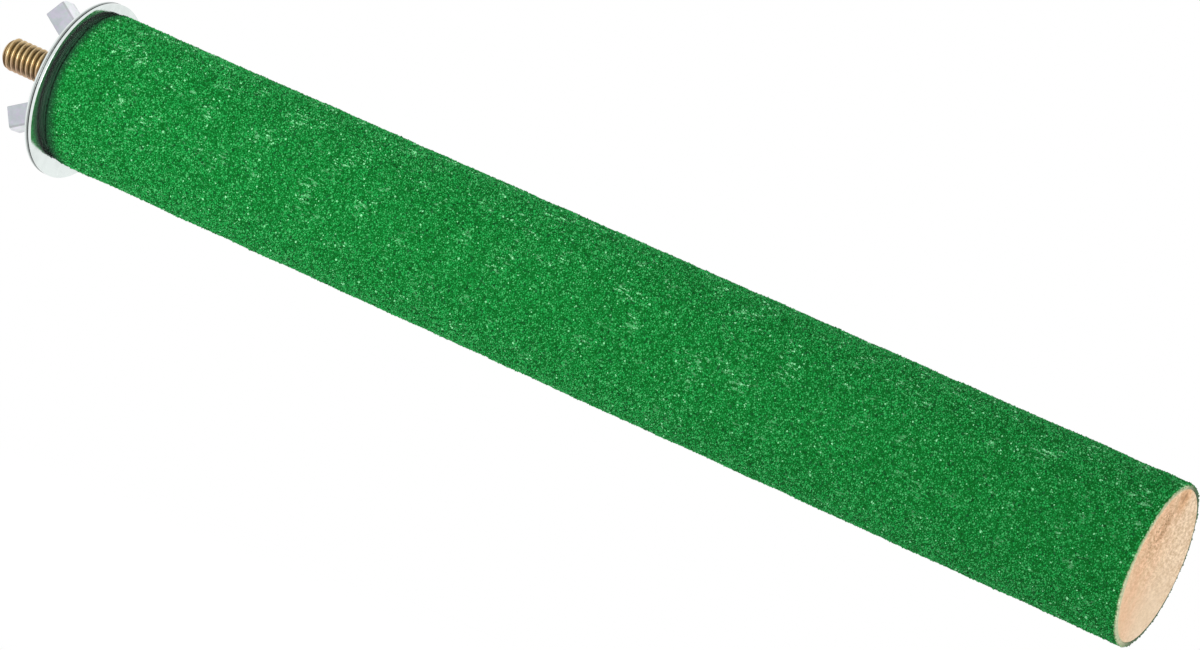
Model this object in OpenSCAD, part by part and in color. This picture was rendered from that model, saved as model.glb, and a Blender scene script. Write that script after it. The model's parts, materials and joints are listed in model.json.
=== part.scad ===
// Clamp-on bird perch: a wooden dowel in a bonded grit coat, held to the cage bars by a
// stud, a pair of large washers and a pressed wing nut.
// The perch lies along +X. The origin is the middle of the clamping face of the inner washer.

/* [Dowel] */
// Length of the wooden dowel
dowel_l = 246.8; // [120:0.2:400]
// Diameter of the wooden dowel
dowel_d = 31; // [20:0.5:50]
// Width of the eased edge at each end of the dowel
dowel_ease = 0.4; // [0.2:0.1:1]

/* [Grit coat] */
// Thickness of the bonded grit over the wood
coat_t = 1; // [1:0.1:3]
// How far the coat stops short of the dowel's ends
coat_setback = 0.3; // [0.1:0.1:2]
// Rounding of the coat's rim at the free end
coat_round_free = 0.9; // [0.3:0.1:0.9]
// Rounding of the coat's rim beside the washer
coat_round_clamp = 0.9; // [0.3:0.1:0.9]

/* [Hanger bolt] */
// Diameter over the machine thread
stud_d = 7; // [5:0.05:7.5]
// Length of the machine thread
stud_l = 25.4; // [22:0.1:40]
// How far the stud stands out of the dowel
stud_out = 20.6; // [18:0.1:21.5]
// Length of the chamfer at the stud's tip
stud_tip_l = 1.1; // [0.4:0.1:1.5]
// Diameter of the plain neck between the two threads
neck_d = 5.5; // [4:0.1:5.9]
// Length of the plain neck
neck_l = 2.4; // [1:0.1:6]
// Diameter of the wood screw's core
core_d = 4.5; // [3:0.1:5.2]
// Length of the wood screw's core
core_l = 18; // [10:1:30]
// Length of the wood screw's point
point_l = 5; // [3:0.5:8]
// Gap round the bolt in its pilot hole
pilot_clear = 0.05; // [0.02:0.01:0.2]

/* [Washers] */
// Outer diameter of the washers
washer_d = 38.1; // [30:0.1:60]
// Diameter of the hole in the washers
washer_hole_d = 8.7; // [7.7:0.1:9.5]
// Thickness of one washer
washer_t = 0.8; // [0.6:0.1:2]
// Rounding of the washers' rolled edges
washer_round = 0.25; // [0.05:0.05:0.28]
// Gap left where the washers hang on the stud
hang_clear = 0.05; // [0.02:0.01:0.2]
// Gap between the two washers with the nut run home
grip_gap = 0.1; // [0.05:0.05:3]

/* [Wing nut] */
// Distance across the outer corners of the wings
wing_span = 29.1; // [26:0.1:40]
// Height of the nut over its wings
nut_h = 12.9; // [11:0.1:18]
// Lean of the wings from the washer's plane, in degrees
wing_lean = 58; // [45:0.5:65]
// Width of a wing across its folded sides
wing_w = 5.2; // [4.4:0.1:9]
// Depth of a wing's folded sides
wing_depth = 5; // [3.2:0.1:5.2]
// Thickness of the pressed sheet
sheet_t = 1.2; // [0.8:0.1:1.5]
// Outer radius of the folds along a wing
fold_r = 1; // [0.4:0.1:2]
// Outer radius of the bend from the base into a wing
sweep_r = 6; // [5.4:0.1:7]
// Least thickness of the threaded collar's wall
collar_wall = 1.8; // [1.2:0.1:4]
// How far the collar covers the start of each wing's bend
collar_cover = 0.1; // [0.05:0.05:0.5]
// Width of the bearing face's lip round the collar
foot_lip = 0.95; // [0.3:0.05:3]
// Height of the threaded collar
collar_h = 6; // [5:0.1:8]
// Width of the chamfer round the collar's top
collar_ease = 0.5; // [0.2:0.1:0.7]
// Running gap between the nut's bore and the stud
thread_clear = 0.06; // [0.02:0.01:0.1]
// Gap between the nut's bearing face and the washer
seat_gap = 0.05; // [0.02:0.01:0.2]
// Turn of the wings from upright with the nut run home, in degrees
nut_turn = 2; // [0:1:180]

/* [Hidden] */
$fn = 96;

over = 0.5;                        // overrun of a cut past the face it opens
coat_d = dowel_d + 2 * coat_t;
clamp_end_x = washer_t;            // the dowel's end against the inner washer
stud_in = stud_l - stud_out;       // machine thread sunk in the dowel
washer_drop = (washer_hole_d - stud_d) / 2 - hang_clear;
nut_seat_x = -(grip_gap + washer_t + seat_gap);
bore_d = stud_d + 2 * thread_clear;
countersink = stud_tip_l / 2;      // depth of the nut's countersinks

// A wing's outer corner, its straight run, and where its bend starts inside the collar
corner_r = wing_span / 2;
corner_z = nut_h - wing_depth * cos(wing_lean);
wing_run = (corner_z - sweep_r * (1 - cos(wing_lean))) / sin(wing_lean);
bend_start = corner_r - wing_run * cos(wing_lean) - sweep_r * sin(wing_lean);
collar_r = max(bore_d / 2 + collar_wall, norm([bend_start + collar_cover, wing_w / 2]));
foot_r = collar_r + foot_lip;

// Turns a shape drawn up the Z axis so that it runs along +X from x
module along_perch(x) {
    translate([x, 0, 0])
        rotate([0, 90, 0])
            children();
}

// Turns a shape drawn up the Z axis so that it runs along -X from x
module along_stud(x) {
    translate([x, 0, 0])
        rotate([0, -90, 0])
            children();
}

// Half outline of a round bar of radius r and length l, its two rims rounded
module bar_outline(r, l, round_start, round_end) {
    difference() {
        square([r, l]);
        difference() {
            translate([r - round_start, -over])
                square([round_start + over, round_start + over]);
            translate([r - round_start, round_start])
                circle(r = round_start);
        }
        difference() {
            translate([r - round_end, l - round_end])
                square([round_end + over, round_end + over]);
            translate([r - round_end, l - round_end])
                circle(r = round_end);
        }
    }
}

// The bolt's body inside the wood, from the dowel's end inwards, grown by a gap all round
module bolt_in_wood(gap) {
    neck_z = stud_in + gap;
    core_z = neck_z + neck_l;
    point_z = core_z + core_l;
    cylinder(h = neck_z, d = stud_d + 2 * gap);
    translate([0, 0, neck_z - gap])
        cylinder(h = neck_l + gap, d = neck_d + 2 * gap);
    translate([0, 0, core_z - gap])
        cylinder(h = core_l + gap, d = core_d + 2 * gap);
    translate([0, 0, point_z])
        cylinder(h = point_l + gap, d1 = core_d + 2 * gap, d2 = gap);
}

module perch_dowel() {
    color("burlywood")
        difference() {
            along_perch(clamp_end_x)
                rotate_extrude()
                    bar_outline(dowel_d / 2, dowel_l, dowel_ease, dowel_ease);
            along_perch(clamp_end_x)
                bolt_in_wood(pilot_clear);
            along_perch(clamp_end_x - over)
                cylinder(h = 2 * over, d = stud_d + 2 * pilot_clear);
        }
}

module grit_coat() {
    coat_l = dowel_l - 2 * coat_setback;
    color("forestgreen")
        along_perch(clamp_end_x + coat_setback)
            difference() {
                rotate_extrude()
                    bar_outline(coat_d / 2, coat_l, coat_round_clamp, coat_round_free);
                translate([0, 0, -over])
                    cylinder(h = coat_l + 2 * over, d = dowel_d);
            }
}

module hanger_bolt() {
    color("goldenrod") {
        along_perch(clamp_end_x)
            bolt_in_wood(0);
        along_stud(clamp_end_x) {
            cylinder(h = stud_out - stud_tip_l, d = stud_d);
            translate([0, 0, stud_out - stud_tip_l])
                cylinder(h = stud_tip_l, d1 = stud_d, d2 = stud_d - 2 * stud_tip_l);
        }
    }
}

// A large flat washer with rolled edges, hanging on the stud, its dowel side at x
module hung_washer(x) {
    translate([0, 0, -washer_drop])
        along_stud(x)
            difference() {
                rotate_extrude()
                    bar_outline(washer_d / 2, washer_t, washer_round, washer_round);
                translate([0, 0, -over])
                    cylinder(h = washer_t + 2 * over, d = washer_hole_d);
            }
}

module inner_washer() {
    color("silver")
        hung_washer(washer_t);
}

module outer_washer() {
    color("silver")
        hung_washer(-grip_gap);
}

// Section of a wing's folded channel: its web lies at sweep_r from the bend's centre and its
// two sides reach inwards by the wing's depth
module channel_section() {
    hollow_w = wing_w - 2 * sheet_t;
    difference() {
        translate([sweep_r - wing_depth, -wing_w / 2])
            square([wing_depth, wing_w]);
        for (side = [-1, 1])
            difference() {
                translate([sweep_r, side * wing_w / 2])
                    square(2 * fold_r, center = true);
                translate([sweep_r - fold_r, side * (wing_w / 2 - fold_r)])
                    circle(r = fold_r);
            }
        translate([sweep_r - wing_depth - over, -hollow_w / 2])
            square([wing_depth + over - sheet_t, hollow_w]);
    }
}

// One wing: the bend that rises out of the collar, then the straight leaning channel
module wing() {
    translate([bend_start, 0, sweep_r])
        rotate([0, -wing_lean, 0]) {
            mirror([1, 0, 0])
                rotate([90, 90, 0])
                    rotate_extrude(angle = wing_lean)
                        channel_section();
            rotate([0, 90, 0])
                linear_extrude(wing_run)
                    channel_section();
        }
}

module wing_nut() {
    color("gainsboro")
        along_stud(nut_seat_x)
            rotate([0, 0, nut_turn])
                difference() {
                    union() {
                        cylinder(h = sheet_t, r = foot_r);
                        cylinder(h = collar_h - collar_ease, r = collar_r);
                        translate([0, 0, collar_h - collar_ease])
                            cylinder(h = collar_ease, r1 = collar_r, r2 = collar_r - collar_ease);
                        wing();
                        mirror([1, 0, 0])
                            wing();
                    }
                    translate([0, 0, -over])
                        cylinder(h = collar_h + 2 * over, d = bore_d);
                    cylinder(h = countersink, d1 = bore_d + 2 * countersink, d2 = bore_d);
                    translate([0, 0, collar_h - countersink])
                        cylinder(h = countersink, d1 = bore_d, d2 = bore_d + 2 * countersink);
                }
}

perch_dowel();
grit_coat();
hanger_bolt();
inner_washer();
outer_washer();
wing_nut();
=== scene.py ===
"""Bird perch with a grit coat, a cage stud, washers and a wing nut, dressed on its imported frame.

The perch lies along X with its free end at +X; the origin is the middle of the clamping face.
"""

import json
import math

import bmesh
import bpy
import numpy as np
from bpy.props import FloatProperty, FloatVectorProperty, IntProperty, PointerProperty
from mathutils import Matrix, Vector

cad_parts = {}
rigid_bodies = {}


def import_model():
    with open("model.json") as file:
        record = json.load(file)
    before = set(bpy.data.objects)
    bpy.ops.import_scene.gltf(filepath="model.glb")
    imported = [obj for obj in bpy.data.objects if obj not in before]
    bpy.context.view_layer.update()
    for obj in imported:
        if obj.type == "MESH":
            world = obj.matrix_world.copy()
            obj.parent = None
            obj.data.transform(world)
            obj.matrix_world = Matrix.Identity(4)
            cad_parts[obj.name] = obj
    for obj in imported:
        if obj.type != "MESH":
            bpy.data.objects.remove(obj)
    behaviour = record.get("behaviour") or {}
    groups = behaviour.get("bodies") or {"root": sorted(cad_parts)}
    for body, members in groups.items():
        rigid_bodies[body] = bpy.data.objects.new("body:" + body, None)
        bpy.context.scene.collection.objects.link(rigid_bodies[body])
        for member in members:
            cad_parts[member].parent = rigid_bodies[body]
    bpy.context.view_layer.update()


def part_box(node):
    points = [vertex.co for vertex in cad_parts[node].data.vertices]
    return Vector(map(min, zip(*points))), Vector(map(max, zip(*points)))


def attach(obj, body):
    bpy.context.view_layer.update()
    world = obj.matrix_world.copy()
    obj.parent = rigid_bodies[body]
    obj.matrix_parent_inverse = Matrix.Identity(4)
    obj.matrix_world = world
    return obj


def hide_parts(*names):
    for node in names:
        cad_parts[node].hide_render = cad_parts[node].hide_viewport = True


bl_info = {
    "name": "Grit perch",
    "version": (1, 0, 0),
    "blender": (4, 5, 0),
    "location": "3D View > Sidebar > Perch",
    "description": "Builds the dowel, grit, stud, washers and wing nut of a cage perch",
    "category": "Object",
}

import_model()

MM = 0.001
FULL_TURN = 2 * math.pi
WELD = 0.001 * MM  # points closer than this become one
HAIR = 0.01 * MM  # keeps one surface just clear of another

DOWEL_LOW, DOWEL_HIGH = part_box("perch_dowel")
COAT_LOW, COAT_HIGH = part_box("grit_coat")
BOLT_LOW, BOLT_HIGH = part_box("hanger_bolt")
INNER_LOW, INNER_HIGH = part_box("inner_washer")
NUT_LOW, NUT_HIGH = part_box("wing_nut")

DOWEL_R = (DOWEL_HIGH.z - DOWEL_LOW.z) / 2
COAT_R = (COAT_HIGH.z - COAT_LOW.z) / 2
STUD_R = (BOLT_HIGH.z - BOLT_LOW.z) / 2
WASHER_R = (INNER_HIGH.y - INNER_LOW.y) / 2
WASHER_Z = (INNER_HIGH.z + INNER_LOW.z) / 2
NUT_HEIGHT = NUT_HIGH.x - NUT_LOW.x


# Sizes and colours that a user would change


def length(title, description, default):
    return FloatProperty(
        name=title,
        description=description,
        default=default,
        subtype="DISTANCE",
        unit="LENGTH",
        precision=5,
    )


def angle(title, description, default):
    return FloatProperty(
        name=title,
        description=description,
        default=math.radians(default),
        subtype="ANGLE",
        unit="ROTATION",
    )


def tint(title, description, default):
    return FloatVectorProperty(
        name=title,
        description=description,
        default=default,
        subtype="COLOR",
        size=3,
        min=0,
        max=1,
    )


class PERCH_PG_dowel(bpy.types.PropertyGroup):
    ease: length("Eased edge", "Rounding of the dowel's two rims", 0.25 * MM)
    grain_relief: length("Grain relief", "Unevenness of the sawn end", 0.16 * MM)
    wood: tint("Wood", "Pale wood of the sawn end", (0.80, 0.58, 0.385))
    dark_wood: tint("Dark wood", "Pores, late wood and the knot", (0.36, 0.21, 0.10))


class PERCH_PG_grit(bpy.types.PropertyGroup):
    bed_depth: length("Bed depth", "How far the bed lies under the coat's size", 0.2 * MM)
    lump: length("Lumps", "Height of the coat's slow lumps", 0.4 * MM)
    ripple: length("Ripple", "Height of the coat's quick ripple", 0.15 * MM)
    free_round: length("Free rim", "Length of the rounding at the free end", 0.3 * MM)
    clamp_round: length("Clamp rim", "Length of the rounding by the washer", 0.3 * MM)
    clamp_gap: length("Clamp gap", "How far past its solid the worn grit starts", 0.6 * MM)
    lip: length("Lip", "Thickness of the bed at its two ends", 0.1 * MM)
    grain: length("Grain", "Width of an average grain", 0.375 * MM)
    spacing: length("Grain spacing", "Least distance between two grains", 0.345 * MM)
    shares: IntProperty(
        name="Shares",
        description="How many objects the grains are shared among",
        default=10,
        min=1,
    )
    seed: IntProperty(name="Seed", description="Start of the random draws", default=7)
    green: tint("Green", "Dyed grains", (0.018, 0.405, 0.081))
    deep_green: tint("Deep green", "Binder between the grains", (0.0008, 0.135, 0.013))
    # Pale green is partly grains that the dye missed and partly painted glints
    pale_green: tint("Pale green", "Grains that the dye missed", (0.34, 0.95, 0.46))
    rim: tint("Rim", "Worn rim round the sawn end", (0.60, 0.60, 0.40))
    # The far rim tint is painted shade on the rim's +Y side
    shaded_far_rim: tint("Far rim", "The rim's other side, where the dye is dirty", (0.10, 0.13, 0.09))
    # Shade is dust with painted shade: it darkens the coat and dowel beside the washer, where
    # shade falls
    shade: tint("Shade", "Dust in the crevice by the washer", (0.012, 0.055, 0.025))
    # Crevice is a painted shadow: a near-black line on the coat's outer edge by the washer
    crevice: tint("Crevice", "The coat's edge in the crevice", (0.001, 0.005, 0.002))
    dark_grain: tint("Dark grain", "Grains that are nearly black", (0, 0.03, 0.005))


class PERCH_PG_bolt(bpy.types.PropertyGroup):
    pitch: length("Pitch", "Distance between two crests of the thread", 1.27 * MM)
    thread_depth: length("Thread depth", "Depth of the thread's grooves", 0.78 * MM)
    tip: length("Tip chamfer", "Length of the chamfer at the tip", 1.1 * MM)
    machine_length: length("Machine thread", "Length of the machine thread", 25.4 * MM)
    neck_r: length("Neck radius", "Radius of the plain neck", 2.75 * MM)
    neck_length: length("Neck", "Length of the plain neck", 2.4 * MM)
    core_r: length("Core radius", "Radius of the wood screw's core", 2.2 * MM)
    core_length: length("Core", "Length of the wood screw before its point", 18 * MM)
    crest: tint("Crest", "Yellow plating on the crests", (0.60, 0.43, 0.22))
    # The groove tint is painted shade: the grooves' plating drawn darker than the crests
    groove: tint("Groove", "Darker plating in the grooves", (0.12, 0.085, 0.035))
    # The underside tint is pink film with painted light
    lit_blush: tint("Blush", "Pink film on the underside", (0.58, 0.38, 0.25))
    pale_gold: tint("Pale gold", "Clouds of a thinner film", (0.86, 0.72, 0.44))


class PERCH_PG_washer(bpy.types.PropertyGroup):
    hole_r: length("Hole radius", "Radius of the washers' holes", 4.35 * MM)
    die_roll: length("Die roll", "Rounding of the edge that the die pulled in", 0.3 * MM)
    burr: length("Burr side", "Rounding of the other edge", 0.06 * MM)
    steel: tint("Plating", "Bright zinc plate", (0.80, 0.86, 0.84))
    # The seam is oil and dust with painted shade: a dark band on the rims where the washers meet
    seam: tint("Seam", "Oil and dust round the rim", (0.05, 0.05, 0.05))


class PERCH_PG_nut(bpy.types.PropertyGroup):
    sheet: length("Sheet", "Thickness of the pressed sheet", 1.2 * MM)
    span: length("Span", "Distance across the wings' outer corners", 29.1 * MM)
    lean: angle("Lean", "Angle of the wings from the washer's face", 58)
    sweep: length("Sweep", "Outer radius of the bend into a wing", 6 * MM)
    depth: length("Depth", "Depth of a wing's folded sides", 5 * MM)
    width: length("Width", "Width of a wing across its folded sides", 5.2 * MM)
    fold: length("Fold", "Outer radius of the folds along a wing", 1 * MM)
    collar_height: length("Collar", "Height of the threaded collar", 6 * MM)
    collar_r: length("Collar radius", "Outer radius of the collar", 5.56 * MM)
    edge: length("Edge", "Rounding of the sheet's cut edges", 0.22 * MM)
    turn: angle("Turn", "Turn of the wings from upright", 2)
    plating: tint("Plating", "Satin zinc plate on the backs of the wings", (0.87, 0.89, 0.89))
    # The sides tint is painted shade: the same plate drawn duller on the folded sides than on the
    # wing backs
    sides: tint("Sides", "Duller plate on the folded sides", (0.60, 0.61, 0.65))
    # The crease tint is a painted shadow line beside each fold
    crease_shade: tint("Crease", "Dark line beside a fold", (0.15, 0.15, 0.16))
    smudge: tint("Smudge", "Clouds in the plate", (0.2, 0.2, 0.22))


class PERCH_PG_stage(bpy.types.PropertyGroup):
    drop: length("Drop", "How far the floor is below the perch", 0.26)
    floor: tint("Floor", "Pale floor", (0.86, 0.86, 0.86))
    lens: FloatProperty(
        name="Lens",
        description="Focal length on a 36 mm wide sensor",
        default=143.4,
        subtype="DISTANCE_CAMERA",
        unit="CAMERA",
    )
    azimuth: angle("Azimuth", "Turn of the view round the perch", 22.637)
    elevation: angle("Elevation", "Height of the view over the horizon", 3.85)
    roll: angle("Roll", "Turn of the camera about its own line of sight", 22.54)


# Modelling


def select_only(obj):
    bpy.ops.object.select_all(action="DESELECT")
    obj.select_set(True)
    bpy.context.view_layer.objects.active = obj


def start_editing(obj):
    select_only(obj)
    bpy.ops.object.mode_set(mode="EDIT")


def stop_editing():
    bpy.ops.object.mode_set(mode="OBJECT")
    return bpy.context.object


def pick(kind, test):
    """Selects the edges or faces whose middle passes the test."""
    bpy.ops.mesh.select_mode(type=kind)
    bpy.ops.mesh.select_all(action="DESELECT")
    data = bpy.context.object.data
    mesh = bmesh.from_edit_mesh(data)
    found = False
    for part in {"EDGE": mesh.edges, "FACE": mesh.faces}[kind]:
        middle = sum((v.co for v in part.verts), Vector()) / len(part.verts)
        if test(middle):
            part.select_set(True)
            found = True
    mesh.select_flush_mode()
    bmesh.update_edit_mesh(data)
    if not found:
        raise RuntimeError(f"nothing to pick on {bpy.context.object.name}")


def trace(name, points):
    """Starts a new object and draws a line through the points. Leaves it in edit mode."""
    bpy.ops.object.select_all(action="DESELECT")
    bpy.ops.mesh.primitive_plane_add(size=MM)
    obj = bpy.context.object
    obj.name = obj.data.name = name
    bpy.ops.object.mode_set(mode="EDIT")
    bpy.ops.mesh.select_mode(type="VERT")
    bpy.ops.mesh.select_all(action="SELECT")
    bpy.ops.mesh.merge(type="CENTER")
    corners = [Vector(p) for p in points]
    bpy.ops.transform.translate(value=corners[0])
    for before, after in zip(corners, corners[1:]):
        bpy.ops.mesh.extrude_vertices_move(
            TRANSFORM_OT_translate={"value": after - before}
        )
    return obj


def close_up():
    """Welds the mesh in edit mode and turns its faces outwards."""
    bpy.ops.mesh.select_all(action="SELECT")
    bpy.ops.mesh.remove_doubles(threshold=WELD)
    bpy.ops.mesh.normals_make_consistent(inside=False)


def lathe(name, outline, steps, divide=(), z=0.0):
    """Spins an outline of (x, radius) points about a line along X at height z.

    Each entry of divide is (low x, high x, lowest radius, cuts) and cuts the outline's edges
    whose middles lie inside it.
    """
    trace(name, [(x, 0, z + r) for x, r in outline])
    for low, high, radius, cuts in divide:
        pick("EDGE", lambda m: low < m.x < high and m.z - z > radius)
        bpy.ops.mesh.subdivide(number_cuts=cuts)
    bpy.ops.mesh.select_mode(type="VERT")
    bpy.ops.mesh.select_all(action="SELECT")
    bpy.ops.mesh.spin(steps=steps, angle=FULL_TURN, center=(0, 0, z), axis=(1, 0, 0))
    close_up()
    return stop_editing()


def arc(x, r, radius, first, last, steps, rise=None):
    """Points of an arc about (x, r), its angles in degrees from +X towards a greater radius.

    With a rise it is part of an ellipse, radius long along X and rise long outwards.
    """
    turns = np.radians(np.linspace(first, last, steps + 1))
    out = radius if rise is None else rise
    return [(x + radius * math.cos(t), r + out * math.sin(t)) for t in turns]


def apply_modifier(obj, kind, **settings):
    select_only(obj)
    modifier = obj.modifiers.new(kind, kind)
    for key, value in settings.items():
        setattr(modifier, key, value)
    bpy.ops.object.modifier_apply(modifier=modifier.name)


def combine(obj, tool, operation):
    """Joins, cuts or trims obj with another closed shape, which is used up."""
    apply_modifier(obj, "BOOLEAN", object=tool, operation=operation, solver="EXACT")
    bpy.data.objects.remove(tool)


def relief(obj, group, size, height, depth):
    """Pushes the vertices of a group in and out along their normals by a clouds texture."""
    texture = bpy.data.textures.new(f"{obj.name}_relief", "CLOUDS")
    texture.noise_scale = size
    texture.noise_depth = depth
    apply_modifier(
        obj,
        "DISPLACE",
        texture=texture,
        texture_coords="LOCAL",
        vertex_group=group,
        strength=height,
        mid_level=0.5,
    )
    bpy.data.textures.remove(texture)


def vertex_array(obj):
    places = np.empty(len(obj.data.vertices) * 3, np.float32)
    obj.data.vertices.foreach_get("co", places)
    return places.reshape(-1, 3)


def hold_back(obj, limit):
    """Pulls back the vertices that stand past a limit along X."""
    places = vertex_array(obj)
    places[:, 0] = np.minimum(places[:, 0], limit)
    obj.data.vertices.foreach_set("co", places.ravel())


def weigh(obj, name, test):
    """Makes a vertex group of the vertices that pass the test."""
    group = obj.vertex_groups.new(name=name)
    chosen = [v.index for v in obj.data.vertices if test(v.co)]
    group.add(chosen, 1.0, "REPLACE")
    return name


def off_axis(place):
    return math.hypot(place.y, place.z)


def smooth(obj, degrees=35):
    select_only(obj)
    bpy.ops.object.shade_smooth_by_angle(angle=math.radians(degrees))


def settle(obj):
    """Puts the object's place into its mesh."""
    select_only(obj)
    bpy.ops.object.transform_apply(location=True, rotation=True, scale=True)


def unroll(obj):
    """Gives a round piece a UV map that is its length by its turn about X."""
    data = obj.data
    while data.uv_layers:
        data.uv_layers.remove(data.uv_layers[0])
    layer = data.uv_layers.new(name="OFBake")
    places = vertex_array(obj)
    corners = np.empty(len(data.loops), np.int32)
    data.loops.foreach_get("vertex_index", corners)
    totals = np.empty(len(data.polygons), np.int32)
    data.polygons.foreach_get("loop_total", totals)
    owner = np.repeat(np.arange(len(totals)), totals)
    at = places[corners]
    middle = np.stack([np.bincount(owner, at[:, i]) for i in range(3)], 1)
    middle /= totals[:, None]
    face_turn = np.arctan2(middle[:, 1], middle[:, 2])[owner]
    turn = np.arctan2(at[:, 1], at[:, 2]) - face_turn
    turn = face_turn + (turn + math.pi) % FULL_TURN - math.pi
    along = (at[:, 0] - COAT_LOW.x) / (COAT_HIGH.x - COAT_LOW.x)
    margin, least = 0.01, 0.001
    span = 1 - 2 * margin
    uv = np.stack([margin + span * along, 0.5 + span * turn / FULL_TURN], 1)
    uv = np.clip(uv, least, 1 - least).astype(np.float32)
    layer.data.foreach_set("uv", uv.ravel())


def dress(obj, body, slot, material, *nodes):
    """Gives a finished piece its material and its body, and hides the CAD nodes that it stands
    for.
    """
    obj.data.materials.clear()
    obj.data.materials.append(material)
    if nodes:
        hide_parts(*nodes)
    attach(obj, body)


# Node graphs


class Value:
    """An output socket that can be reckoned with: a * b or 1 - a adds a Math node."""

    def __init__(self, graph, node, output):
        self.graph, self.node = graph, node
        self.socket = find_socket(node.outputs, output)

    def other(self, output):
        return Value(self.graph, self.node, output)

    def reckon(self, operation, *values):
        numbered = dict(enumerate(values))
        return self.graph.add("ShaderNodeMath", numbered, operation=operation)

    def __add__(self, b):
        return self.reckon("ADD", self, b)

    def __radd__(self, a):
        return self.reckon("ADD", a, self)

    def __sub__(self, b):
        return self.reckon("SUBTRACT", self, b)

    def __rsub__(self, a):
        return self.reckon("SUBTRACT", a, self)

    def __mul__(self, b):
        return self.reckon("MULTIPLY", self, b)

    def __rmul__(self, a):
        return self.reckon("MULTIPLY", a, self)

    def __truediv__(self, b):
        return self.reckon("DIVIDE", self, b)

    def __pow__(self, b):
        return self.reckon("POWER", self, b)

    def __abs__(self):
        return self.reckon("ABSOLUTE", self)

    def above(self, b):
        return self.reckon("GREATER_THAN", self, b)

    def below(self, b):
        return self.reckon("LESS_THAN", self, b)

    def between(self, low, high):
        """0 up to low, 1 from high on, and a soft step between them."""
        return self.graph.add(
            "ShaderNodeMapRange",
            {"Value": self, "From Min": low, "From Max": high},
            interpolation_type="SMOOTHSTEP",
        )


def find_socket(sockets, key):
    if isinstance(key, int):
        return sockets[key]
    exact = [s for s in sockets if s.identifier == key]
    return (exact or [s for s in sockets if s.name == key])[0]


class Graph:
    """A node tree that nodes are added to one by one."""

    def __init__(self, tree):
        self.tree = tree
        tree.nodes.clear()

    def add(self, kind, inputs=None, output=0, **settings):
        """Adds a node: its settings first, then its sockets' values or links."""
        node = self.tree.nodes.new(kind)
        for key, value in settings.items():
            setattr(node, key, value)
        for key, value in (inputs or {}).items():
            socket = find_socket(node.inputs, key)
            if isinstance(value, Value):
                self.tree.links.new(value.socket, socket)
            elif socket.type == "RGBA" and len(value) == 3:
                socket.default_value = (*value, 1)
            else:
                socket.default_value = value
        return Value(self, node, output) if len(node.outputs) else node

    def mix(self, factor, a, b, blend="MIX"):
        return self.add(
            "ShaderNodeMix",
            {"Factor_Float": factor, "A_Color": a, "B_Color": b},
            "Result_Color",
            data_type="RGBA",
            blend_type=blend,
        )

    def place(self, scale=(1, 1, 1), turn=(0, 0, 0)):
        """The piece's own coordinates, turned and scaled."""
        own = self.add("ShaderNodeTexCoord", output="Object")
        inputs = {"Vector": own, "Rotation": turn, "Scale": scale}
        return self.add("ShaderNodeMapping", inputs)

    def noise(self, vector, size, detail=3.0, roughness=0.55):
        """Noise whose features are about the given size in metres."""
        return self.add(
            "ShaderNodeTexNoise",
            {
                "Vector": vector,
                "Scale": 1 / size,
                "Detail": detail,
                "Roughness": roughness,
            },
        )

    def cells(self, vector, size):
        """How far a point is from the middle of its cell, the cells about the given size."""
        inputs = {"Vector": vector, "Scale": 1 / size}
        return self.add("ShaderNodeTexVoronoi", inputs, "Distance")

    def bump(self, height, distance, strength):
        inputs = {"Strength": strength, "Distance": distance, "Height": height}
        return self.add("ShaderNodeBump", inputs)


def finish(name, inputs_of):
    """Makes a material from a function that takes a graph and returns the shader's inputs."""
    made = bpy.data.materials.new(name)
    made.use_nodes = True
    graph = Graph(made.node_tree)
    shader = graph.add("ShaderNodeBsdfPrincipled", inputs_of(graph))
    graph.add("ShaderNodeOutputMaterial", {"Surface": shader})
    return made


# Finishes


def tinted(colour, *factors):
    """A colour with each of its three parts times a factor."""
    return tuple(part * factor for part, factor in zip(colour, factors))


# Marks on the sawn end: middle in Y and Z, half width, half height, lean from upright
PATCH = (-7.6 * MM, 6.2 * MM, 4.6 * MM, 7.4 * MM, 0.35)
STREAK = (-5.4 * MM, 8.6 * MM, 1.1 * MM, 4.6 * MM, 0.5)
KNOT = (-1.3 * MM, 13.7 * MM, 0.85 * MM, 1.5 * MM, 0.25)
STAIN = (-1 * MM, 14.5 * MM, 4 * MM, 5 * MM, 0)


def blot(axes, y, z, wide, tall, lean):
    """How far a point of the sawn end is from an oval's middle: 1 on its outline."""
    across, up = axes.other("Y") - y, axes.other("Z") - z
    along = (across * math.sin(lean) + up * math.cos(lean)) / tall
    side = (across * math.cos(lean) - up * math.sin(lean)) / wide
    return (along**2 + side**2) ** 0.5


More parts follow.
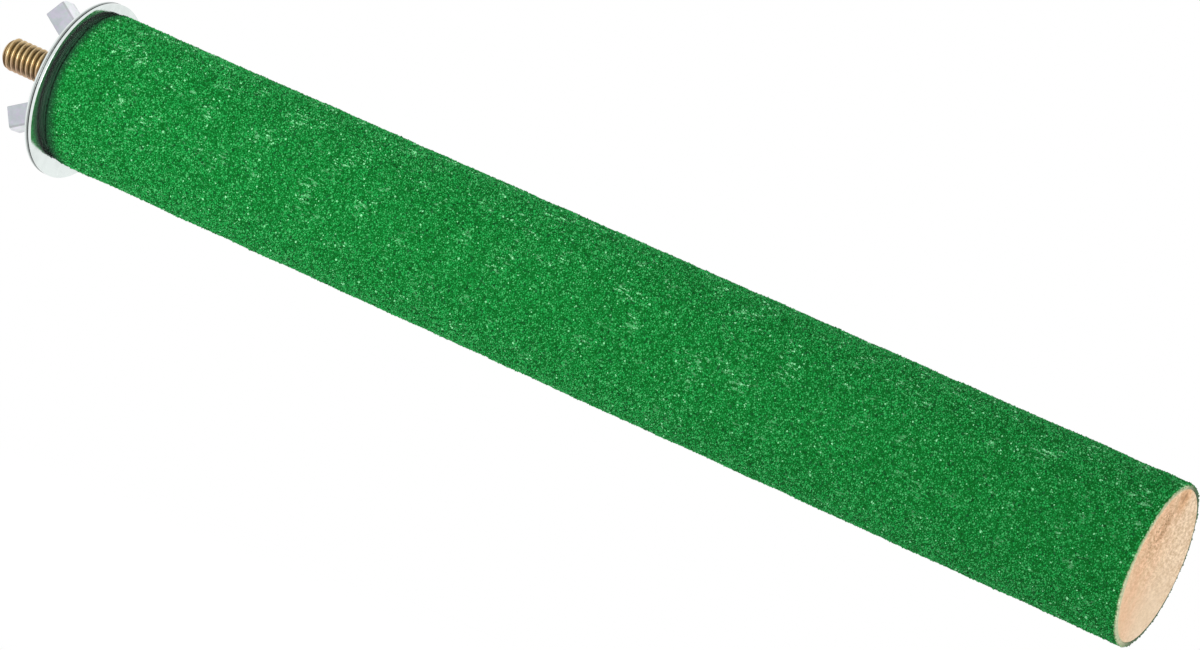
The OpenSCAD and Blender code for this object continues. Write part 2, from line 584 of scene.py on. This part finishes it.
def sawn_wood(g):
    """Sawn end grain: fine pores, faint rings, a knot near the top and a porous patch."""
    look = bpy.context.scene.perch_dowel
    grit = bpy.context.scene.perch_grit
    own = g.place()
    sawn = g.place(scale=(1, 0.42, 1))
    axes = g.add("ShaderNodeSeparateXYZ", {"Vector": own})
    y, z = axes.other("Y"), axes.other("Z")
    sway = g.noise(own, 6 * MM, 2) - 0.5
    ragged = g.noise(own, 1.1 * MM, 3, 0.65) - 0.5

    pith_y, pith_z, ring_width = 22 * MM, -27 * MM, 2.3 * MM
    from_pith = ((y - pith_y) ** 2 + (z - pith_z) ** 2) ** 0.5 + sway * (2.4 * MM)
    ring = from_pith.reckon("PINGPONG", from_pith, ring_width)
    late = (ring / ring_width).between(0.55, 1)

    patch = blot(axes, *PATCH) + sway * 0.8
    patch = 1 - patch.between(0.35, 1.15)
    pore = 1 - g.cells(sawn, 0.5 * MM).between(0.2, 0.55)
    pores = pore * (patch * 0.85 + 0.12)
    streak = blot(axes, *STREAK) + ragged * 1.3
    streak = 1 - streak.between(0.1, 1.25)
    knot = blot(axes, *KNOT) + ragged * 0.9
    knot = 1 - knot.between(0.2, 1.15)
    stain = blot(axes, *STAIN) + ragged * 0.6
    stain = 1 - stain.between(0.3, 1.2)

    rosy = tinted(look.wood, 0.96, 0.86, 0.82)
    pale = tinted(look.wood, 1.0, 1.07, 1.15)
    dull = tinted(look.wood, 0.93, 0.98, 0.97)
    warm = tinted(look.wood, 0.84, 0.68, 0.55)
    flush = (y + sway * (5 * MM)).between(-9 * MM, 6 * MM)
    cloud = g.noise(own, 4 * MM, 2).between(0.35, 0.7)
    colour = g.mix(flush, rosy, pale)
    colour = g.mix(cloud * 0.45, colour, dull)
    colour = g.mix(stain * 0.8, colour, warm)
    colour = g.mix(late * 0.05, colour, look.dark_wood)

    # The saw left a nap of fibres, rougher towards the top
    fuzz = g.noise(sawn, 0.6 * MM, 3, 0.7)
    nap = g.mix(fuzz.between(0.3, 0.75), (0.69, 0.59, 0.48), (1.28, 1.32, 1.36))
    rough = (z + sway * (9 * MM)).between(-9 * MM, 3 * MM)
    colour = g.mix(rough * 0.55 + 0.25, colour, nap, "MULTIPLY")
    dark = pores * 0.75 + streak * 0.5 + knot * 0.85
    colour = g.mix(dark, colour, look.dark_wood)

    # Binder soaks into the rim, and the clamped end takes dust and painted shade for its first 3
    # mm
    radius = (y**2 + z**2) ** 0.5 + ragged * (0.5 * MM)
    rim = radius.between(DOWEL_R - 0.4 * MM, DOWEL_R - 0.05 * MM)
    colour = g.mix(rim * 0.4, colour, grit.rim)
    colour = g.mix(axes.other("X").below(3 * MM), colour, grit.shade)
    height = fuzz * 0.6 - pores * 0.8 - knot * 0.6
    return {
        "Base Color": colour,
        "Roughness": 0.78 - late * 0.05,
        "Specular IOR Level": 0.2,
        "Normal": g.bump(height, 0.14 * MM, 0.9),
    }


def worn_glint_flecks(g, own, axes):
    """Pale flecks where the dye is rubbed off, which also stand in for painted glints: short
    flecks along the perch, in clusters, most on top.
    """
    clusters = g.noise(own, 4.5 * MM, 3, 0.6).between(0.52, 0.62)
    drawn_out = g.place(scale=(0.33, 1, 1), turn=(0.2, 0, 0.15))
    flecks = g.noise(drawn_out, 0.5 * MM, 2, 0.5).between(0.57, 0.61)
    upper = (axes.other("Z") / COAT_R).between(-0.8, 0.8)
    return clusters * flecks * (upper * 0.4 + 0.6)


def wear_and_shade(g, own, axes, colour):
    """Darker towards the free end by painted shade, with a worn rim whose +Y side takes painted
    shade, and dust and painted shade by the washer.
    """
    look = bpy.context.scene.perch_grit
    x = axes.other("X")
    y, z = axes.other("Y") / COAT_R, axes.other("Z") / COAT_R
    ragged = g.noise(own, 0.8 * MM, 2, 0.6) - 0.5
    far = (x - COAT_LOW.x) / (COAT_HIGH.x - COAT_LOW.x)
    # Painted shade: the colour darkens along the perch towards the free end
    colour = g.mix(far * 0.36, colour, (0, 0, 0))

    # Worn rim round the sawn end, its depth in mm and less on top
    depth = 0.55 - z.between(-0.5, 0.6) * 0.25
    inwards = (DOWEL_HIGH.x - x) / MM / depth + ragged * 1.2
    # The rim is pale on its -Y side and takes painted shade on its +Y side
    worn = g.mix(y.between(-0.3, 0.3), look.rim, look.shaded_far_rim)
    colour = g.mix((1 - inwards.between(0, 1)) * 0.85, colour, worn)

    # Dust and painted shade beside the washer, its reach in mm and less on top, and the dark edge
    # itself, a painted shadow
    start = (COAT_LOW.x + look.clamp_gap) / MM
    reach = 4.4 - z.between(-1, 0.2) * 1.7
    dusty_shade = 1 - ((x / MM - start) / reach).between(0.04, 1)
    colour = g.mix(dusty_shade, colour, look.shade)
    # Painted shadow: the coat's outer edge right by the washer is drawn near black
    outer = (y**2 + z**2).above((1 - 0.5 * MM / COAT_R) ** 2)
    edge = (1 - (x / MM).between(start + 0.3, start + 0.6)) * outer
    return g.mix(edge, colour, look.crevice)


def bonded_bed(g):
    """The dyed binder that shows between the grains."""
    look = bpy.context.scene.perch_grit
    own = g.place()
    axes = g.add("ShaderNodeSeparateXYZ", {"Vector": own})
    mottle = g.noise(own, 0.35 * MM, 2, 0.6)
    colour = g.mix(mottle.between(0.4, 0.9), look.deep_green, look.green)
    # Pale flecks: worn dye and painted glints
    colour = g.mix(worn_glint_flecks(g, own, axes) * 0.4, colour, look.pale_green)
    grains = g.cells(own, 0.3 * MM)
    return {
        "Base Color": wear_and_shade(g, own, axes, colour),
        "Roughness": 0.85,
        "Specular IOR Level": 0.08,
        "Normal": g.bump(grains, 0.12 * MM, 0.9),
    }


def dyed_grains(g):
    """Grains of mineral grit: mostly green, some deep, some that hardly took the dye, their pale
    colour also a painted glint.
    """
    look = bpy.context.scene.perch_grit
    own = g.place()
    tone = g.add("ShaderNodeAttribute", attribute_name="tone", output="Fac")
    hue = g.add("ShaderNodeAttribute", attribute_name="hue", output="Fac")
    axes = g.add("ShaderNodeSeparateXYZ", {"Vector": own})
    blotch = g.noise(own, 1.2 * MM, 2, 0.6) - 0.5
    strength = tone + blotch * 0.15
    light = g.mix(0.2, look.green, look.pale_green)
    colour = g.mix(strength.between(-0.05, 0.5), look.deep_green, look.green)
    colour = g.mix(strength.between(0.55, 1.05), colour, light)
    colour = g.mix(hue.below(0.07) * 0.75, colour, look.dark_grain)
    # Pale grains are undyed grit and painted glints; the few brightest are painted glints
    chance = worn_glint_flecks(g, own, axes) * 0.9 + hue * 0.4 + hue.above(0.985) * 0.6
    pale = chance.between(0.75, 1.1)
    colour = g.mix(pale, colour, look.pale_green)
    return {
        "Base Color": wear_and_shade(g, own, axes, colour),
        "Roughness": 0.75 - pale * 0.35,
        "Specular IOR Level": 0.12,
    }


def bright_zinc(g):
    """Barrel-plated washers: almost a mirror, with faint tumbling marks and a dark seam of oil and
    painted shade where the washers meet.
    """
    look = bpy.context.scene.perch_washer
    own = g.place()
    axes = g.add("ShaderNodeSeparateXYZ", {"Vector": own})
    cloud = g.noise(own, 5 * MM, 3)
    marks = g.noise(g.place(scale=(1, 1, 7), turn=(0.6, 0, 0)), 1.3 * MM, 3)
    dull = tinted(look.steel, 0.9, 0.9, 0.9)
    colour = g.mix(cloud.between(0.4, 0.7), look.steel, dull)
    # Painted shade with oil: a dark band round the rims where the washers meet
    seam_x = -0.18 * MM
    seam = 1 - abs(axes.other("X") - seam_x).between(0.16 * MM, 0.3 * MM)
    return {
        "Base Color": g.mix(seam * 0.62, colour, look.seam),
        "Metallic": 0.965,
        "Roughness": 0.12 + marks.between(0.45, 0.8) * 0.08,
        "Normal": g.bump(marks, 0.008 * MM, 0.5),
    }


def satin_zinc(g):
    """Pressed sheet under a satin zinc plate."""
    look = bpy.context.scene.perch_nut
    own = g.place()
    upright = g.place(turn=(look.turn, 0, 0))
    axes = g.add("ShaderNodeSeparateXYZ", {"Vector": upright})
    cloud = g.noise(own, 2.5 * MM, 3)
    skin = g.noise(own, 0.25 * MM, 2)

    # How far, in mm, a point stands out past the planes of the folded sides
    aside = (abs(axes.other("Y")) - look.width / 2) / MM
    line = aside.between(-0.3, -0.16) * (1 - aside.between(-0.06, -0.02))
    # Painted shade: the folded sides are duller than the wing backs, with a painted dark line
    # beside each fold
    colour = g.mix(aside.between(-0.08, -0.02), look.plating, look.sides)
    colour = g.mix(line * 0.5, colour, look.crease_shade)

    greenish, pinkish = (0.88, 0.96, 0.93), (1.0, 0.94, 1.05)
    film = g.noise(g.place(scale=(1, 1, 1.6)), 1.4 * MM, 3, 0.65).between(0.38, 0.62)
    colour = g.mix(0.8, colour, g.mix(film, greenish, pinkish), "MULTIPLY")
    return {
        "Base Color": g.mix(cloud.between(0.35, 0.7) * 0.16, colour, look.smudge),
        "Metallic": 1.0,
        "Roughness": 0.3 + cloud * 0.12,
        "Normal": g.bump(skin, 0.012 * MM, 0.6),
    }


def yellow_zinc(g):
    """Yellow passivated thread: gold crests, olive grooves darkened by painted shade, a touch of
    pink with painted light on the underside.
    """
    look = bpy.context.scene.perch_bolt
    own = g.place()
    axes = g.add("ShaderNodeSeparateXYZ", {"Vector": own})
    cloud = g.noise(own, 1.6 * MM, 3)
    skin = g.noise(own, 0.2 * MM, 2)
    # Painted light with pink film: the underside takes its own pinker tint
    upper = (axes.other("Z") / STUD_R).between(-0.9, 0.2)
    gold = g.mix(1 - upper, look.crest, look.lit_blush)
    gold = g.mix(cloud.between(0.45, 0.75) * 0.5, gold, look.pale_gold)

    # The crests and the turned tip are bright; the grooves take painted shade
    radius = (axes.other("Y") ** 2 + axes.other("Z") ** 2) ** 0.5
    crest = radius.between(STUD_R - look.thread_depth * 0.9, STUD_R - 0.1 * MM)
    tip_end = BOLT_LOW.x + look.tip
    turned = 1 - axes.other("X").between(tip_end - look.tip * 0.6, tip_end)
    bright = crest.reckon("MAXIMUM", crest, turned)
    return {
        "Base Color": g.mix(bright, look.groove, gold),
        "Metallic": 1.0,
        "Roughness": 0.42 - crest * 0.14 + cloud * 0.08,
        "Normal": g.bump(skin, 0.01 * MM, 0.5),
    }


# Operators


class PERCH_OT_dowel(bpy.types.Operator):
    """Build the dowel, with its sawn end"""

    bl_idname = "perch.dowel"
    bl_label = "Dowel"

    def execute(self, context):
        look = context.scene.perch_dowel
        low, high, ease = DOWEL_LOW.x, DOWEL_HIGH.x, look.ease
        outline = [(low, 0), *arc(low + ease, DOWEL_R - ease, ease, 180, 90, 4)]
        outline += [*arc(high - ease, DOWEL_R - ease, ease, 90, 0, 4), (high, 0)]
        sawn_face = (high - HAIR, high + MM, 0, 56)
        obj = lathe("bare_dowel", outline, steps=160, divide=[sawn_face])
        face = weigh(obj, "sawn_end", lambda p: p.x > high - HAIR)
        relief(obj, face, size=2.2 * MM, height=look.grain_relief, depth=3)
        relief(obj, face, size=0.5 * MM, height=look.grain_relief / 2, depth=1)
        hold_back(obj, high)
        smooth(obj)
        dress(obj, "perch", "perch_dowel", finish("sawn wood", sawn_wood), "perch_dowel")
        return {"FINISHED"}


class PERCH_OT_grit_coat(bpy.types.Operator):
    """Build the lumpy bed of the grit coat"""

    bl_idname = "perch.grit_coat"
    bl_label = "Grit coat"

    def execute(self, context):
        look = context.scene.perch_grit
        free_gap, skin_depth = 0.05 * MM, 0.3 * MM
        low, high = COAT_LOW.x + look.clamp_gap, DOWEL_HIGH.x - free_gap
        outer = COAT_R - look.bed_depth
        start, end, lip = look.clamp_round, look.free_round, DOWEL_R + look.lip
        outline = [(low, DOWEL_R)]
        outline += arc(low + start, lip, start, 180, 90, 8, outer - lip)
        outline += arc(high - end, lip, end, 90, 0, 6, outer - lip)
        outline += [(high, DOWEL_R), (low, DOWEL_R)]
        wall = (low + start, high - end, outer - HAIR, 100)
        obj = lathe("grit_bed", outline, steps=180, divide=[wall])
        skin = weigh(obj, "skin", lambda p: off_axis(p) > DOWEL_R + skin_depth)
        relief(obj, skin, size=7 * MM, height=look.lump, depth=1)
        relief(obj, skin, size=1.7 * MM, height=look.ripple, depth=2)
        hold_back(obj, DOWEL_HIGH.x)
        smooth(obj, 60)
        unroll(obj)
        dress(obj, "perch", "grit_coat", finish("bonded bed", bonded_bed), "grit_coat")
        return {"FINISHED"}


class PERCH_OT_grit_grains(bpy.types.Operator):
    """Scatter angular grains over the bed of the grit coat"""

    bl_idname = "perch.grit_grains"
    bl_label = "Grit grains"

    def model_grain(self, name, seed, size):
        """Makes one angular grain: a coarse ball, drawn out and dented."""
        bpy.ops.object.select_all(action="DESELECT")
        bpy.ops.mesh.primitive_uv_sphere_add(segments=4, ring_count=2, radius=size / 2)
        grain = bpy.context.object
        grain.name = name
        bpy.ops.object.mode_set(mode="EDIT")
        bpy.ops.mesh.select_all(action="SELECT")
        drawn_out, dent = (1.2, 1, 0.9), size * 0.22
        bpy.ops.transform.resize(value=drawn_out)
        bpy.ops.transform.vertex_random(offset=dent, seed=seed)
        return stop_editing()

    def scatter_tree(self, look, grains):
        """Puts grains on the bed's outside, each turned and sized by its own draw."""
        tree = bpy.data.node_groups.new("scatter grains", "GeometryNodeTree")
        face = tree.interface
        face.new_socket("Bed", in_out="INPUT", socket_type="NodeSocketGeometry")
        face.new_socket("Share", in_out="INPUT", socket_type="NodeSocketInt")
        face.new_socket("Grains", in_out="OUTPUT", socket_type="NodeSocketGeometry")
        g = Graph(tree)
        given = g.add("NodeGroupInput")
        at = g.add("GeometryNodeInputPosition")
        axes = g.add("ShaderNodeSeparateXYZ", {"Vector": at})
        radius = (axes.other("Y") ** 2 + axes.other("Z") ** 2) ** 0.5
        outside = radius.above(DOWEL_R + 0.35 * MM)
        first = COAT_LOW.x + look.clamp_gap + 0.1 * MM
        last = DOWEL_HIGH.x - 0.15 * MM
        inside = axes.other("X").above(first) * axes.other("X").below(last)
        crowding = 3.2  # points tried on each square of the spacing
        points = g.add(
            "GeometryNodeDistributePointsOnFaces",
            {
                "Mesh": given,
                "Selection": outside * inside,
                "Distance Min": look.spacing,
                "Density Max": crowding / look.spacing**2,
                "Seed": look.seed,
            },
            distribute_method="POISSON",
        )

        def draw(low, high, seed, kind="FLOAT"):
            names = {
                "FLOAT": ("Min_001", "Max_001", "Value_001"),
                "INT": ("Min_002", "Max_002", "Value_002"),
                "FLOAT_VECTOR": ("Min", "Max", "Value"),
            }
            least, most, value = names[kind]
            inputs = {least: low, most: high, "Seed": seed}
            return g.add("FunctionNodeRandomValue", inputs, value, data_type=kind)

        for attribute, seed in (("tone", 1), ("hue", 2)):
            points = g.add(
                "GeometryNodeStoreNamedAttribute",
                {"Geometry": points, "Name": attribute, "Value": draw(0.0, 1.0, seed)},
                data_type="FLOAT",
                domain="POINT",
            )
        number = g.add("GeometryNodeInputIndex")
        turn_to = number.reckon("MODULO", number, look.shares)
        mine = number.reckon("COMPARE", turn_to, given.other("Share"), 0.5)
        size = draw(0.0, 1.0, 3) ** 3 * 0.7 + 0.85  # most grains are small
        variants = g.add(
            "GeometryNodeCollectionInfo",
            {"Collection": grains, "Separate Children": True, "Reset Children": True},
        )
        instances = g.add(
            "GeometryNodeInstanceOnPoints",
            {
                "Points": points,
                "Selection": mine,
                "Instance": variants,
                "Pick Instance": True,
                "Instance Index": draw(0, len(grains.objects) - 1, 4, "INT"),
                "Rotation": draw((0, 0, 0), (FULL_TURN,) * 3, 5, "FLOAT_VECTOR"),
                "Scale": size,
            },
        )
        real = g.add("GeometryNodeRealizeInstances", {"Geometry": instances})
        g.add("NodeGroupOutput", {"Grains": real})
        return tree

    def execute(self, context):
        look = context.scene.perch_grit
        bed = bpy.data.objects["grit_bed"]
        grains = bpy.data.collections.new("grain shapes")
        shapes, first_seed = 4, 11
        for number in range(shapes):
            shape = self.model_grain(f"grain_{number}", first_seed + number, look.grain)
            grains.objects.link(shape)
        tree = self.scatter_tree(look, grains)
        share_id = tree.interface.items_tree["Share"].identifier
        material = finish("dyed grains", dyed_grains)
        for share in range(look.shares):
            select_only(bed)
            bpy.ops.object.duplicate()
            obj = context.object
            obj.name = obj.data.name = f"grit_grains_{share + 1}"

            # The copy doesn't stand for the node that the bed replaces
            for key in list(obj.keys()):
                if key.startswith("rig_"):
                    del obj[key]

            modifier = obj.modifiers.new("Scatter", "NODES")
            modifier.node_group = tree
            modifier[share_id] = share
            bpy.ops.object.modifier_apply(modifier=modifier.name)
            obj.vertex_groups.clear()
            hold_back(obj, DOWEL_HIGH.x)
            unroll(obj)
            dress(obj, "perch", "grit_coat", material)
        for shape in list(grains.objects):
            bpy.data.objects.remove(shape)
        bpy.data.collections.remove(grains)
        bpy.data.node_groups.remove(tree)
        return {"FINISHED"}


class PERCH_OT_hanger_bolt(bpy.types.Operator):
    """Build the hanger bolt: its machine thread and the plain core inside the wood"""

    bl_idname = "perch.hanger_bolt"
    bl_label = "Hanger bolt"

    def thread(self, name, outline, low, turns, steps):
        """Winds an outline one pitch long into a right-handed thread that starts at low."""
        trace(name, [(low + x, 0, r) for x, r in outline])
        obj = stop_editing()
        pitch = outline[-1][0] - outline[0][0]
        apply_modifier(
            obj,
            "SCREW",
            axis="X",
            angle=FULL_TURN,
            screw_offset=pitch,
            iterations=turns,
            steps=steps,
            render_steps=steps,
        )
        start_editing(obj)
        close_up()
        return stop_editing()

    def trim(self, obj, x, outwards):
        """Cuts a thread off square at x and caps it."""
        start_editing(obj)
        bpy.ops.mesh.select_all(action="SELECT")
        bpy.ops.mesh.bisect(
            plane_co=(x, 0, 0),
            plane_no=(outwards, 0, 0),
            use_fill=True,
            clear_outer=True,
        )
        close_up()
        stop_editing()

    def execute(self, context):
        look = context.scene.perch_bolt
        pitch, crest = look.pitch, STUD_R - HAIR
        root = crest - look.thread_depth

        # A flank from groove to crest, as shares of the pitch and of the depth
        flank = [(0, 0), (0.08, 0.01), (0.15, 0.09), (0.35, 0.86), (0.42, 0.98), (0.5, 1)]
        rise = [(pitch * x, root + (crest - root) * h) for x, h in flank]
        fall = [(pitch - x, r) for x, r in reversed(rise[:-1])]
        tip, end = BOLT_LOW.x, BOLT_LOW.x + look.machine_length
        spare_turns, spare = 3, 0.3 * pitch
        turns = math.ceil(look.machine_length / pitch) + spare_turns
        start = tip - spare_turns / 2 * pitch
        obj = self.thread("threaded_stud", rise + fall, start, turns, steps=48)
        self.trim(obj, tip - spare, -1)
        self.trim(obj, end + spare, 1)

        # The blank's turned tip and end trim the thread
        runout = 0.4 * MM
        blank = [(tip, 0), (tip, crest - look.tip), (tip + look.tip, crest + HAIR)]
        blank += [(end - runout, crest + HAIR), (end, look.neck_r), (end, 0)]
        combine(obj, lathe("blank", blank, steps=64), "INTERSECT")

        neck_end = end + look.neck_length
        core_end = neck_end + look.core_length
        neck_start, shoulder = end - 0.2 * MM, 0.6 * MM
        core = [(neck_start, 0), (neck_start, look.neck_r)]
        core += [(neck_end, look.neck_r), (neck_end + shoulder, look.core_r)]
        core += [(core_end, look.core_r), (BOLT_HIGH.x, 0)]
        shank = lathe("shank", core, steps=48)
        select_only(obj)
        shank.select_set(True)
        bpy.ops.object.join()
        smooth(obj, 40)
        settle(obj)
        material = finish("yellow zinc", yellow_zinc)
        dress(obj, "perch", "hanger_bolt", material, "hanger_bolt")
        return {"FINISHED"}


class PERCH_OT_washers(bpy.types.Operator):
    """Build the two stamped washers"""

    bl_idname = "perch.washers"
    bl_label = "Washers"

    def execute(self, context):
        look = context.scene.perch_washer
        roll, burr, hole = look.die_roll, look.burr, look.hole_r
        material = finish("bright zinc", bright_zinc)
        for name, body, node in (
            ("stamped_washer_inner", "perch", "inner_washer"),
            ("stamped_washer_outer", "outer_washer", "outer_washer"),
        ):
            low, high = (corner.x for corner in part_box(node))
            outline = arc(high - burr, WASHER_R - burr, burr, 0, 90, 3)
            outline += arc(low + roll, WASHER_R - roll, roll, 90, 180, 5)
            outline += arc(low + roll, hole + roll, roll, 180, 270, 5)
            outline += arc(high - burr, hole + burr, burr, 270, 360, 3)
            outline.append(outline[0])
            obj = lathe(name, outline, steps=144, z=WASHER_Z)
            smooth(obj)
            dress(obj, body, node, material, node)
        return {"FINISHED"}


class PERCH_OT_wing_nut(bpy.types.Operator):
    """Build the pressed wing nut"""

    bl_idname = "perch.wing_nut"
    bl_label = "Wing nut"

    def channel(self, look):
        """Sweeps the folded section along the base, round the bend and up one wing."""
        t, half, depth, fold = look.sheet, look.width / 2, look.depth, look.fold
        lean, sweep = look.lean, look.sweep
        corner_x = NUT_HEIGHT - depth * math.cos(lean)
        run = (corner_x - sweep * (1 - math.cos(lean))) / math.sin(lean)
        reach = look.span / 2 - run * math.cos(lean) - sweep * math.sin(lean)
        inner = 0.3 * MM
        side = [(depth, half - t), (depth, half)]
        side += arc(fold, half - fold, fold, 90, 180, 5)
        other = [(x, -y) for x, y in reversed(side)]
        hollow = arc(t + inner, half - t - inner, inner, 180, 90, 3)
        hollow = [(x, -y) for x, y in reversed(hollow)] + hollow
        section = side + other + hollow
        section.append(section[0])
        trace("pressed_wing_nut", [(x, y, 0) for x, y in section])
        bpy.ops.mesh.select_all(action="SELECT")
        bpy.ops.mesh.remove_doubles(threshold=WELD)
        bpy.ops.mesh.select_all(action="SELECT")
        bpy.ops.mesh.edge_face_add()
        bpy.ops.mesh.extrude_region_move(
            TRANSFORM_OT_translate={"value": (0, 0, reach)}
        )
        bpy.ops.mesh.spin(steps=12, angle=-lean, center=(sweep, 0, reach), axis=(0, 1, 0))
        along = Vector((math.sin(lean), 0, math.cos(lean))) * run
        bpy.ops.mesh.extrude_region_move(TRANSFORM_OT_translate={"value": along})
        pick("FACE", lambda m: abs(m.z) < WELD)
        bpy.ops.mesh.delete(type="FACE")
        close_up()
        wing = stop_editing()
        apply_modifier(
            wing,
            "MIRROR",
            use_axis=(False, False, True),
            merge_threshold=WELD,
        )
        start_editing(wing)
        close_up()
        stop_editing()
        apply_modifier(
            wing,
            "BEVEL",
            width=look.edge,
            segments=2,
            limit_method="ANGLE",
            angle_limit=math.radians(50),
        )
        return wing

    def execute(self, context):
        look = context.scene.perch_nut
        nut = self.channel(look)
        t, height, collar = look.sheet, look.collar_height, look.collar_r
        lip, heel, brim = 0.95 * MM, 0.25 * MM, 0.2 * MM
        fillet, crown = 0.45 * MM, 0.55 * MM
        foot = collar + lip
        outline = [(0, 0), *arc(heel, foot - heel, heel, 180, 90, 3)]
        outline += arc(t - brim, foot - brim, brim, 90, 0, 3)
        outline += arc(t + fillet, collar + fillet, fillet, 180, 270, 4)
        outline += [*arc(height - crown, collar - crown, crown, 90, 0, 5), (height, 0)]
        combine(nut, lathe("collar", outline, steps=72), "UNION")

        # The bore, with a countersink at each end
        clear, past, sink = 0.06 * MM, MM, 0.45 * MM
        bore = STUD_R + clear
        wide = bore + sink
        cut = [(-past, 0), (-past, wide), (0, wide), (sink, bore)]
        cut += [(height - sink, bore), (height, wide)]
        cut += [(height + past, wide), (height + past, 0)]
        combine(nut, lathe("bore", cut, steps=72), "DIFFERENCE")

        # It was modelled up +X from its foot, and the foot faces the washer
        nut.matrix_world = (
            Matrix.Translation((NUT_HIGH.x, 0, 0))
            @ Matrix.Rotation(math.pi, 4, "Z")
            @ Matrix.Rotation(look.turn, 4, "X")
        )
        settle(nut)
        smooth(nut, 40)
        dress(nut, "wing_nut", "wing_nut", finish("satin zinc", satin_zinc), "wing_nut")
        return {"FINISHED"}


# The stage, in metres and watts
CAMERA_STAND = Vector((483.44, -857.85, 61.0)) * MM
LAMPS = {"key": ((0.35, -1.05, 0.08), 9), "fill": ((1.35, -0.35, 0.14), 5.8)}
LAMP_SIZE = 0.9
LAMP_TARGET = Vector((0.12, 0, 0))
FLOOR_SIZE = 8
FLOOR_X = 0.1
SOFT_LIGHT = 0.5
WHITE = (1, 1, 1)


class PERCH_OT_stage(bpy.types.Operator):
    """Set up the floor, the lights and the camera"""

    bl_idname = "perch.stage"
    bl_label = "Stage"

    def seen_directly(self, g):
        """1 for rays that reach the camera straight, by a mirror or through glass."""
        path = g.add("ShaderNodeLightPath", output="Is Camera Ray")
        mirrored = path.reckon("MAXIMUM", path, path.other("Is Glossy Ray"))
        return path.reckon("MAXIMUM", mirrored, path.other("Is Transmission Ray"))

    def floor(self, look):
        bpy.ops.object.select_all(action="DESELECT")
        middle = (FLOOR_X, 0, -look.drop)
        bpy.ops.mesh.primitive_plane_add(size=FLOOR_SIZE, location=middle)
        obj = bpy.context.object
        obj.name = "floor"
        made = bpy.data.materials.new("pale floor")
        made.use_nodes = True
        g = Graph(made.node_tree)
        matt = g.add("ShaderNodeBsdfDiffuse", {"Color": look.floor})

        # Half matt by the perch, where a shadow shows, and plain white further off
        near, far, near_glow = 0.5, 1.4, (1.38, 1.38, 1.38)
        place = {"Vector": g.place()}
        away = g.add("ShaderNodeVectorMath", place, "Value", operation="LENGTH")
        away = away.between(near, far)
        glow = g.mix(away, near_glow, WHITE)
        white = g.add("ShaderNodeEmission", {"Color": glow})
        shown = self.seen_directly(g) * (away * 0.5 + 0.5)
        both = g.add("ShaderNodeMixShader", {0: shown, 1: matt, 2: white})
        g.add("ShaderNodeOutputMaterial", {"Surface": both})
        obj.data.materials.append(made)
        settle(obj)

    def lamp(self, name, place, power):
        data = bpy.data.lights.new(name, "AREA")
        data.shape = "DISK"
        data.size = LAMP_SIZE
        data.energy = power
        obj = bpy.data.objects.new(name, data)
        bpy.context.scene.collection.objects.link(obj)
        aim = LAMP_TARGET - Vector(place)
        obj.matrix_world = (
            Matrix.Translation(place) @ aim.to_track_quat("-Z", "Y").to_matrix().to_4x4()
        )

    def sky(self):
        world = bpy.data.worlds.new("studio")
        world.use_nodes = True
        bpy.context.scene.world = world
        g = Graph(world.node_tree)
        soft = g.add("ShaderNodeBackground", {"Color": WHITE, "Strength": SOFT_LIGHT})
        white = g.add("ShaderNodeBackground", {"Color": WHITE, "Strength": 1.0})
        both = g.add("ShaderNodeMixShader", {0: self.seen_directly(g), 1: soft, 2: white})
        g.add("ShaderNodeOutputWorld", {"Surface": both})

    def camera(self, look):
        data = bpy.data.cameras.new("camera")
        data.sensor_width = 36
        data.lens = look.lens
        data.clip_start, data.clip_end = 0.01, 50
        obj = bpy.data.objects.new("camera", data)
        bpy.context.scene.collection.objects.link(obj)
        obj.matrix_world = (
            Matrix.Translation(CAMERA_STAND)
            @ Matrix.Rotation(look.azimuth, 4, "Z")
            @ Matrix.Rotation(math.pi / 2 - look.elevation, 4, "X")
            @ Matrix.Rotation(look.roll, 4, "Z")
        )
        bpy.context.scene.camera = obj

    def execute(self, context):
        look = context.scene.perch_stage
        context.scene.view_settings.view_transform = "Standard"
        self.camera(look)
        self.floor(look)
        self.sky()
        for name, (place, power) in LAMPS.items():
            self.lamp(name, place, power)
        return {"FINISHED"}


STEPS = (
    PERCH_OT_dowel,
    PERCH_OT_grit_coat,
    PERCH_OT_grit_grains,
    PERCH_OT_hanger_bolt,
    PERCH_OT_washers,
    PERCH_OT_wing_nut,
    PERCH_OT_stage,
)
SETTINGS = {
    "perch_dowel": PERCH_PG_dowel,
    "perch_grit": PERCH_PG_grit,
    "perch_bolt": PERCH_PG_bolt,
    "perch_washer": PERCH_PG_washer,
    "perch_nut": PERCH_PG_nut,
    "perch_stage": PERCH_PG_stage,
}


class PERCH_PT_panel(bpy.types.Panel):
    """Lists the perch's pieces and their sizes"""

    bl_label = "Grit perch"
    bl_idname = "PERCH_PT_panel"
    bl_space_type = "VIEW_3D"
    bl_region_type = "UI"
    bl_category = "Perch"

    def draw(self, context):
        for step in STEPS:
            self.layout.operator(step.bl_idname)
        for name, group in SETTINGS.items():
            box = self.layout.box()
            box.label(text=name.replace("perch_", "").capitalize())
            for key in group.__annotations__:
                box.prop(getattr(context.scene, name), key)


CLASSES = (*SETTINGS.values(), *STEPS, PERCH_PT_panel)


def register():
    for cls in CLASSES:
        bpy.utils.register_class(cls)
    for name, group in SETTINGS.items():
        setattr(bpy.types.Scene, name, PointerProperty(type=group))


def unregister():
    for name in SETTINGS:
        delattr(bpy.types.Scene, name)
    for cls in reversed(CLASSES):
        bpy.utils.unregister_class(cls)


def main():
    register()
    for step in STEPS:
        area, name = step.bl_idname.split(".")
        getattr(getattr(bpy.ops, area), name)()


if __name__ == "__main__":
    main()
